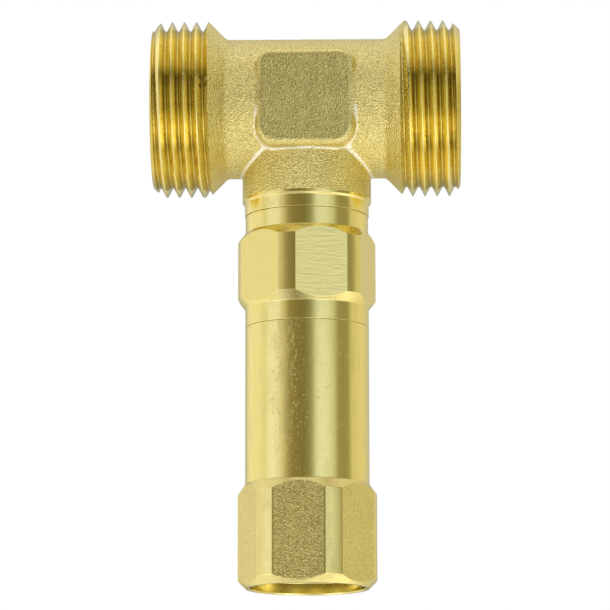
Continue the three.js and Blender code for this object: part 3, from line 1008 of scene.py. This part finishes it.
def strainer_frame(name):
    """The flanged collar that holds the strainer's mesh."""
    low = INLET_SHOULDER - 0.8
    top = INLET_SHOULDER - 0.05
    return smooth(turned(name, [
        (5.5, low), (9.0, low), (9.0, top), (6.4, top), (6.4, INLET_SHOULDER + 1.8),
        (5.5, INLET_SHOULDER + 1.8),
    ], radius=0.15, steps=96))


def strainer_pins(top):
    """The punches for the cup's holes: staggered rows around its wall and rings across its end."""
    hole_r = 0.33
    sides = 10
    pins = []
    for row in range(5):
        level = Matrix.Translation((0, 0, INLET_SHOULDER + 0.9 + 1.05 * row))
        for step in range(18):
            angle = 2 * math.pi * (step + 0.5 * (row % 2)) / 18
            turn = Matrix.Rotation(angle, 4, "Z") @ Matrix.Rotation(math.pi / 2, 4, "Y")
            pins.append((level @ turn, 4.6, 6.0))
    for radius, count in ((0, 1), (1.2, 6), (2.4, 12), (3.6, 18)):
        for step in range(count):
            angle = 2 * math.pi * step / count
            centre = (radius * math.cos(angle), radius * math.sin(angle), top - 1)
            pins.append((Matrix.Translation(centre), 0.0, 2.0))
    points, faces = [], []
    for pose, near, far in pins:
        faces += bar_faces(2, sides, len(points))
        for reach in (near, far):
            for side in range(sides):
                a = 2 * math.pi * side / sides
                points.append(pose @ Vector((hole_r * math.cos(a), hole_r * math.sin(a), reach)))
    return add_mesh("pins", points, faces)


def strainer_mesh(name):
    """A cup of sheet steel with rows of small holes in its wall and its end."""
    low = INLET_SHOULDER - 0.8
    top = INLET_SHOULDER + 7.5
    cup = turned(name, [
        (5.1, low, 0.05), (5.4, low, 0.05), (5.4, top - 1.2, 0.4), (4.6, top, 0.4), (0, top),
        (0, top - 0.3), (4.4, top - 0.3, 0.3), (5.1, top - 1.4, 0.3),
    ], steps=96)
    return smooth(cut(cup, strainer_pins(top)))


def retaining_ring(name):
    """The snap ring above the upper cartridge: an open ring with two eyed ends."""
    low = UPPER_CARTRIDGE + CARTRIDGE_LENGTH + 0.45
    high = low + 0.8
    eye_centre, eye_r, hole_r = 6.5, 1.15, 0.5
    gap = math.radians(22)
    angles = np.linspace(2 * math.pi - gap, gap, 97)
    outline = anticlockwise(rounded([(6.95, low), (8.05, low), (8.05, high), (6.95, high)], 0.12))
    body = bar(name, spun([outline] * len(angles), angles))
    eyes, holes = [], []
    for side in (-1, 1):
        middle = Vector((math.cos(gap), side * math.sin(gap), 0)) * eye_centre * MM
        eye = [(0, low), (eye_r, low, 0.1), (eye_r, high, 0.1), (0, high)]
        hole = [(0, low - 1), (hole_r, low - 1, 0), (hole_r, high + 1, 0), (0, high + 1)]
        eyes.append(turned(f"eye_{side}", eye, steps=32))
        holes.append(turned(f"hole_{side}", hole, steps=24))
        for made in (eyes[-1], holes[-1]):
            made.data.transform(Matrix.Translation(middle))
    return smooth(cut(join(body, *eyes), *holes))


# ---- Putting the pieces in place ----

def paint(made, *materials):
    made.data.materials.clear()
    for material in materials:
        made.data.materials.append(material)
    return made


def paint_where(made, choose):
    """Gives each face the material whose number choose() returns for the face centres."""
    count = len(made.data.polygons)
    centres = np.empty(count * 3)
    made.data.polygons.foreach_get("center", centres)
    index = choose(centres.reshape(-1, 3) / MM).astype(np.int32)
    made.data.polygons.foreach_set("material_index", index)
    return made


def tee_regions(centre):
    """0 on the forged skin, 1 in the bore, 2 on the neck, 3 on pads, 4 on threads, 5 in fillets
    (painted highlight).
    """
    x, y, z = centre.T
    around_run = np.hypot(y, z - RUN_AXIS)
    around_stem = np.hypot(x, y)
    thread = (np.abs(x) > THREAD_START - 0.05) & (around_run > OUTLET_BORE_R + 0.5)
    run = around_run < OUTLET_BORE_R + 0.5
    bore = (around_stem < O_RING_SEAT_R + 0.6) & (around_run > RUN_BORE_R + 0.05) & (z < RUN_AXIS)
    neck = (z < NECK_STEP + 0.35) | bore
    pad = (np.abs(y) > PAD["front"] - 0.3) & (np.abs(x) < PAD["width"] / 2)
    out = np.stack([around_run - RUN_R, around_stem - NECK_R, pad_distance(x, y, z - RUN_AXIS)])
    near = (out > FILLET_BAND[0]) & (out < FILLET_BAND[1])
    fillet = (near.sum(0) > 1) & (z < RUN_AXIS)
    return np.select([neck, run, thread, pad, fillet], [2, 1, 4, 3, 5], 0)


def union_regions(centre):
    """1 on the milled flats of the hexagon and 0 elsewhere."""
    x, y, z = centre.T
    low, high = UNION_HEX
    hexagon = (np.hypot(x, y) > SLEEVE_R + 0.1) & (z > low - 1.4) & (z < high + 1.4)
    return hexagon & on_flat(x, y, UNION_FACE)


def on_flat(x, y, face):
    """Whether a point stands on one of a hexagon's flats, not on a corner or a cone."""
    slack = 0.06
    sixth = math.radians(60)
    from_flat = (np.arctan2(y, x) - face + sixth / 2) % sixth - sixth / 2
    return np.abs(np.hypot(x, y) * np.cos(from_flat) - ACROSS_FLATS / 2) < slack


def socket_regions(centre):
    """0 on the sleeve, 1 on flats, 2 on corners and the foot, 3 inside and 4 on the shoulder; 3 and 4
    carry painted shade.
    """
    x, y, z = centre.T
    around = np.hypot(x, y)
    low, high = SOCKET_HEX
    hexagon = on_flat(x, y, SOCKET_FACE)
    corner = around > CORNER_R - 0.12
    inside = around < SLEEVE_R - 0.02
    foot = z < low + 1.5
    shoulder = (z > high - 0.1) & (z < SOCKET_SHOULDER + 0.1)
    blasted = hexagon & (z < SOCKET_SHOULDER)
    return np.select([inside & (z > 0.1), corner, blasted, foot, shoulder], [3, 2, 1, 2, 4], 0)


def place(made, body, slot, node):
    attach(made, body)
    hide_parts(node)


def brass_pieces():
    run = lathe_brass("run_turned_brass", "X", rough=0.1)
    stem = lathe_brass("stem_turned_brass", "Z", rough=0.18)
    skin = blasted_brass("blasted_skin", dents=0.23, rough=0.21)
    pressed = blasted_brass("blasted_flats", dents=0.11, rough=0.33)
    # Painted highlight: the fillets get a pale, near-white brass colour.
    highlighted = blasted_brass("fillets_painted_highlight", dents=0.1, rough=0.3, metal=(1.0, 0.93, 0.66))
    tee = paint(tee_body(), skin, run, stem, pressed, thread_brass_shaded_roots(), highlighted)
    place(paint_where(tee, tee_regions), "fitting", "forged_brass", "tee_body")
    union = paint(hex_union(), stem, milled_brass())
    place(paint_where(union, union_regions), "fitting", "turned_brass", "hex_union")
    worn = lathe_brass("worn_turned_brass", "Z", rough=0.26)
    # Painted shade: the socket's shoulder is painted darker, at 0.76 of the brass colour.
    shoulder = lathe_brass("shoulder_brass_painted_shade", "Z", painted_shade=0.76, rough=0.26)
    # Painted shade: inside the socket the brass is painted darker, at 0.86 of its colour.
    bore = lathe_brass("bored_brass_painted_shade", "Z", painted_shade=0.86, rough=0.13)
    socket = paint(inlet_socket(), sleeve_brass(), pressed, worn, bore, shoulder)
    place(paint_where(socket, socket_regions), "fitting", "socket_brass", "inlet_socket")


def inner_pieces():
    white = plastic("white_moulding", (0.76, 0.74, 0.68), (0.68, 0.66, 0.6))
    blue = plastic("blue_moulding", (0.03, 0.14, 0.42), (0.025, 0.11, 0.34))
    black = rubber()
    bright = steel()
    middle = (O_RING_GROOVE_R + O_RING_SEAT_R) / 2
    for node, level in (
        ("tee_joint_o_ring", UPPER_SEAM + O_RING_GROOVE / 2),
        ("socket_joint_o_ring", LOWER_SEAM - O_RING_GROOVE / 2),
    ):
        made = paint(ring(f"{node}_rubber", middle, 0.72, level), black)
        place(made, "fitting", "black_rubber", node)
    for maker, node, material, slot in (
        (inlet_washer, "inlet_washer", black, "black_rubber"),
        (strainer_frame, "strainer_frame", white, "white_plastic"),
        (strainer_mesh, "strainer_mesh", bright, "stainless_steel"),
        (retaining_ring, "retaining_ring", bright, "stainless_steel"),
    ):
        place(paint(maker(f"{node}_part"), material), "fitting", slot, node)
    for name, level in (("lower", LOWER_CARTRIDGE), ("upper", UPPER_CARTRIDGE)):
        cartridge(name, level, white, blue, black, bright)


def cartridge(name, level, white, blue, black, bright):
    """One check cartridge at its level in the stem."""
    moving = f"{name}_poppet"
    for maker, part, material, slot, body in (
        (check_housing, "housing", white, "white_plastic", "fitting"),
        (check_guide, "guide", blue, "blue_plastic", "fitting"),
        (check_poppet, "poppet", blue, "blue_plastic", moving),
        (check_seal, "seal", black, "black_rubber", moving),
        (check_spring, "spring", bright, "stainless_steel", "fitting"),
    ):
        node = f"{name}_check_{part}"
        made = raised(paint(maker(f"{node}_part"), material), level)
        place(made, body, slot, node)
        if part == "spring":
            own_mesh(made)
    o_ring = ring(f"{name}_check_o_ring_part", 7.03, 0.52, level + 3.8)
    place(paint(o_ring, black), "fitting", "black_rubber", f"{name}_check_o_ring")


# ---- Floor, light and camera ----

def floor():
    """A pale lit table that shows from above only, so that a view from below can look past it."""
    half = 2000.0
    hole = 11.0
    steps = 48
    angles = np.linspace(0, 2 * math.pi, steps, endpoint=False)
    points = spun([[(hole, -0.02), (half, -0.02)]] * steps, angles).reshape(-1, 3)
    faces = [(i, i + 1, (i + 3) % (2 * steps), (i + 2) % (2 * steps)) for i in range(0, 2 * steps, 2)]
    made = add_mesh("floor", points, faces)
    nodes = Finish("pale_floor")
    looks = {"Base Color": (0.86, 0.86, 0.85, 1), "Roughness": 0.9, "Emission Color": (1, 1, 1, 1)}
    for name, value in (*looks.items(), ("Emission Strength", 0.25)):
        nodes.wire(value, nodes.shader.inputs[name])
    below = nodes.new("ShaderNodeNewGeometry").outputs["Backfacing"]
    clear = nodes.new("ShaderNodeBsdfTransparent").outputs["BSDF"]
    either = nodes.new("ShaderNodeMixShader")
    for number, value in enumerate((below, nodes.shader.outputs["BSDF"], clear)):
        nodes.wire(value, either.inputs[number])
    nodes.wire(either.outputs["Shader"], nodes.tree.nodes["Material Output"].inputs["Surface"])
    paint(made, nodes.material)
    made.visible_glossy = False  # the brass mirrors the studio's paper instead


# The studio seen from the object, at the height of the lights, as (degrees right of the front,
# colour): two tall soft boxes beside a dim front, and pale walls behind.
DIM = (0.235, 0.21, 0.105)
SHADE = (0.35, 0.33, 0.2)
LEFT_BOX = (1.04, 1.06, 1.26)
RIGHT_BOX = (0.92, 1.0, 1.2)
REAR = (0.42, 0.42, 0.36)
STUDIO = (
    (-180, REAR),
    (-160, (0.6, 0.6, 0.5)),
    (-130, (1.12, 1.07, 1.0)),
    (-100, (1.1, 1.06, 1.0)),
    (-84, (0.92, 0.9, 0.85)),
    (-74, LEFT_BOX),
    (-54, LEFT_BOX),
    (-46, (0.8, 0.77, 0.68)),
    (-32, (0.34, 0.29, 0.17)),
    (-22, (0.27, 0.235, 0.13)),
    (-4, DIM),
    (7, (0.31, 0.31, 0.2)),
    (21, RIGHT_BOX),
    (36, RIGHT_BOX),
    (50, (0.76, 0.8, 0.76)),
    (61, SHADE),
    (82, SHADE),
    (94, (0.84, 0.8, 0.62)),
    (125, (0.96, 0.88, 0.67)),
    (155, (0.72, 0.7, 0.6)),
    (180, REAR),
)

# How the walls and boxes fade above and below that height, and how much plain ceiling and paper
# come in, as (degrees above the horizon, share). The lights stand in front, so the front half
# fades sooner than the rear half.
FRONT_WALLS = (
    (-90, 0.3), (-66, 0.25), (-54, 0.6), (-42, 0.95), (-32, 1.05), (0, 1.08),
    (9, 1.0), (16, 0.8), (25, 0.5), (36, 0.28), (48, 0.35), (72, 0.3), (90, 0),
)
FRONT_FILL = (
    (-90, 0.75), (-78, 0.5), (-66, 0.16), (-54, 0.36), (-42, 0.85), (-28, 0.76), (-16, 0.28),
    (-7, 0), (13, 0), (24, 0.05), (36, 0.06), (46, 0.34), (58, 0.8), (72, 0.95), (90, 1.12),
)
REAR_WALLS = (
    (-90, 0.3), (-44, 0.7), (-12, 0.95), (2, 0.9),
    (16, 0.9), (30, 1.05), (45, 0.9), (65, 0.3), (90, 0),
)
REAR_FILL = (
    (-90, 0.7), (-44, 0.3), (-12, 0), (16, 0), (30, 0.05), (45, 0.2), (65, 0.85), (90, 1.12),
)
FILL_TINT = (0.99, 0.96, 1.04)
PAPER_SHARE = 0.45  # more of the paper underneath, on the right


def ramp(studio, position, stops):
    """The colour at a position from 0 to 1 between stops of (position, colour)."""
    node = studio.new("ShaderNodeValToRGB")
    node.color_ramp.interpolation = "EASE"
    elements = node.color_ramp.elements
    for number, (where, colour) in enumerate(stops):
        element = elements[number] if number < 2 else elements.new(1.0)
        element.position = where
        element.color = (*colour, 1)
    studio.wire(position, node.inputs["Fac"])
    return node.outputs["Color"]


def profile(studio, height, shares):
    """A number that follows the degrees above the horizon."""
    position = studio.math("ADD", studio.math("MULTIPLY", height, 0.5), 0.5)
    stops = [((math.sin(math.radians(e)) + 1) / 2, (share,) * 3) for e, share in shares]
    return ramp(studio, position, stops)


def studio_light():
    """The world: white to the camera, and the studio to the brass."""
    world = bpy.data.worlds.new("studio")
    bpy.context.scene.world = world
    world.use_nodes = True
    studio = Nodes(world.node_tree)
    right, back, height = studio.parts(studio.new("ShaderNodeTexCoord").outputs["Generated"])
    front = studio.math("MULTIPLY", back, -1.0)
    turn = studio.math("ARCTAN2", right, front)
    around = studio.math("ADD", studio.math("MULTIPLY", turn, 0.5 / math.pi), 0.5)
    ring_colour = ramp(studio, around, [((degrees + 180) / 360, c) for degrees, c in STUDIO])
    halves = []
    for walls, fill in ((REAR_WALLS, REAR_FILL), (FRONT_WALLS, FRONT_FILL)):
        wall = studio.vector("SCALE", ring_colour, profile(studio, height, walls), "Scale")
        plain = studio.vector("SCALE", FILL_TINT, profile(studio, height, fill), "Scale")
        halves.append(studio.vector("ADD", wall, plain))
    colour = studio.mix(studio.fade(front, -0.1, 0.3), *halves)
    low = studio.fade(studio.math("MULTIPLY", height, -1.0), 0.5, 0.8)
    paper = studio.math("MULTIPLY", low, studio.fade(right, -0.3, 0.25))
    paper = studio.math("MULTIPLY", paper, PAPER_SHARE)
    colour = studio.vector("ADD", colour, studio.vector("SCALE", FILL_TINT, paper, "Scale"))
    seen = studio.new("ShaderNodeLightPath").outputs["Is Camera Ray"]
    backdrop = studio.mix(seen, colour, (1.0, 1.0, 1.0))
    studio.wire(backdrop, world.node_tree.nodes["Background"].inputs["Color"])


def camera():
    """A long lens from just below the fitting, a little to its right."""
    azimuth, elevation, roll = (math.radians(angle) for angle in (1.2, -10.3, 0.1))
    distance = 757 * MM
    target = Vector((-0.38, 0, 53.58)) * MM
    back = Vector((
        math.sin(azimuth) * math.cos(elevation),
        -math.cos(azimuth) * math.cos(elevation),
        math.sin(elevation),
    ))
    right = Vector((math.cos(azimuth), math.sin(azimuth), 0))
    up = back.cross(right)
    lens = bpy.data.cameras.new("camera")
    lens.sensor_width = 36
    lens.lens = 237.7
    lens.clip_start = 0.01
    made = bpy.data.objects.new("camera", lens)
    tilted_right = right * math.cos(roll) - up * math.sin(roll)
    tilted_up = up * math.cos(roll) + right * math.sin(roll)
    turn = Matrix((tilted_right, tilted_up, back)).transposed().to_4x4()
    made.matrix_world = Matrix.Translation(target + back * distance) @ turn
    bpy.context.scene.collection.objects.link(made)
    bpy.context.scene.camera = made


camera()
brass_pieces()
inner_pieces()
floor()
studio_light()
bpy.context.scene.view_settings.view_transform = "Standard"
